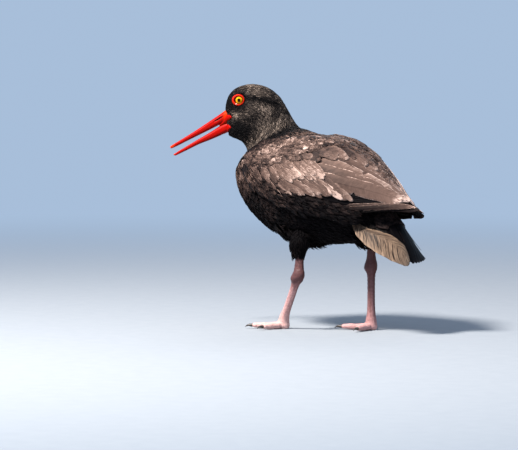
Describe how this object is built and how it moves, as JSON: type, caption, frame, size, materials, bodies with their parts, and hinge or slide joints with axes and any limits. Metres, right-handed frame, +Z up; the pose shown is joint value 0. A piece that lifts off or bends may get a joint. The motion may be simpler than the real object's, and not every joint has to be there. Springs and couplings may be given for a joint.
{
  "type": "black oystercatcher",
  "caption": "Still, life-size standing wader with its long bill parted, head turned to its left and wings folded.",
  "frame": {"origin": "on the floor, under the middle of the whole bird's box", "axes": "the body faces -X, its left side is -Y and +Z is up"},
  "size_m": [0.2801, 0.1267, 0.2587],
  "materials": {
    "plumage_head": "sooty black small feathers",
    "plumage_body": "dark brown body feathers",
    "flight_feathers": "dark brown vanes with worn pale edges",
    "bill": "smooth red horn",
    "iris": "wet yellow with a black pupil",
    "eye_ring": "fleshy orange red",
    "leg": "pale pink scaled skin",
    "claw": "dark horn"
  },
  "bodies": {
    "root": {"head": "plumage_head", "neck": "plumage_head", "torso": "plumage_body", "wing_left": "flight_feathers", "wing_right": "flight_feathers", "tail": "flight_feathers", "bill_upper": "bill", "bill_lower": "bill", "eye_left": "iris", "eye_right": "iris", "eye_ring_left": "eye_ring", "eye_ring_right": "eye_ring", "thigh_left": "leg", "thigh_right": "leg", "shank_left": "leg", "shank_right": "leg", "foot_left": "leg", "foot_right": "leg", "claw_inner_left": "claw", "claw_middle_left": "claw", "claw_outer_left": "claw", "claw_inner_right": "claw", "claw_middle_right": "claw", "claw_outer_right": "claw"}
  },
  "joints": []
}
